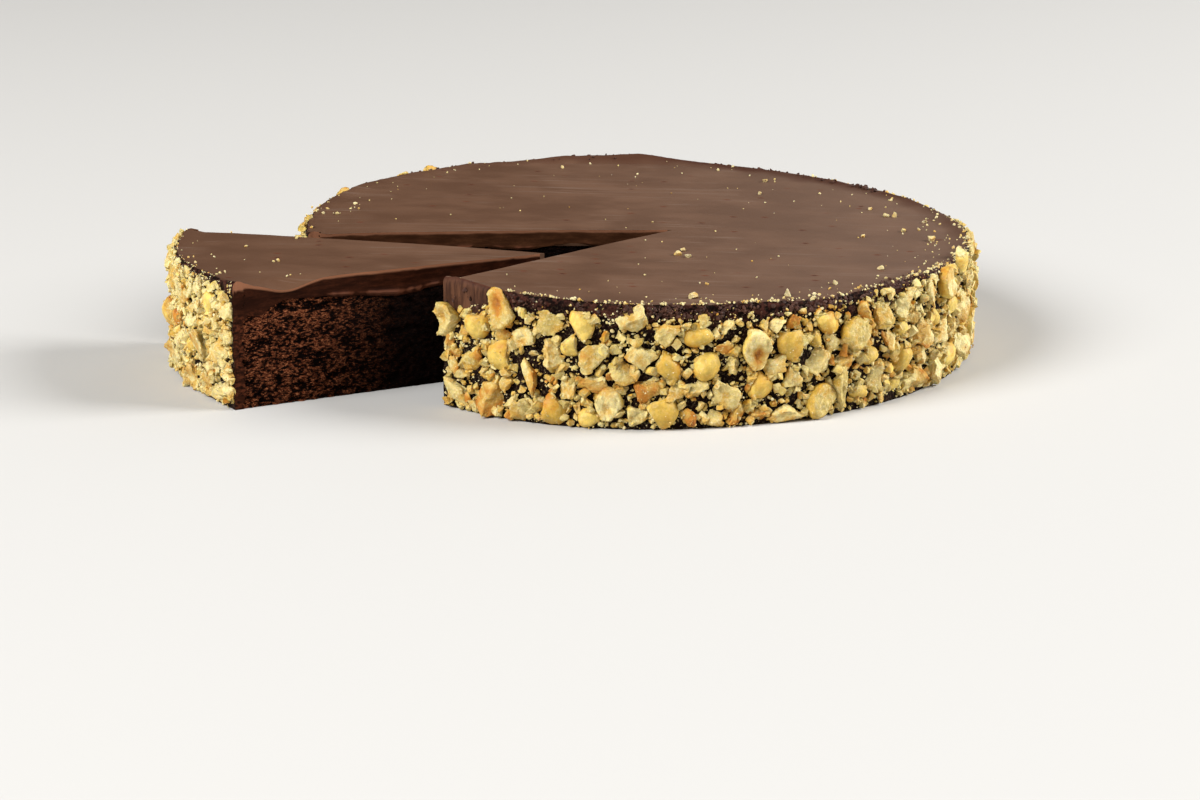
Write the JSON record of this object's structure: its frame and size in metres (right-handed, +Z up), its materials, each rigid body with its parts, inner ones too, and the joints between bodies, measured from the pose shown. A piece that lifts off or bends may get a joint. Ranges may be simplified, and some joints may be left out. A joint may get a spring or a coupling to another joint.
{
  "type": "flourless chocolate cake",
  "caption": "Low round chocolate cake with dark ganache on top and chopped hazelnuts round the side, one slice drawn part of the way out.",
  "frame": {"origin": "centre of the round cake, on the flat base that it stands on", "axes": "+Z up through the ganache, +X to the picture's right and +Y away from the picture's camera; the cut-out opens towards -X and -Y"},
  "size_m": [0.2814, 0.239, 0.0435],
  "materials": {
    "crumb": "dense moist crumb, matte",
    "ganache": "set ganache, satin",
    "nuts": "chopped toasted hazelnut, matte"
  },
  "bodies": {
    "root": {"cake_crumb": "crumb", "cake_ganache": "ganache", "slice_crumb": "crumb", "slice_ganache": "ganache"}
  },
  "joints": []
}
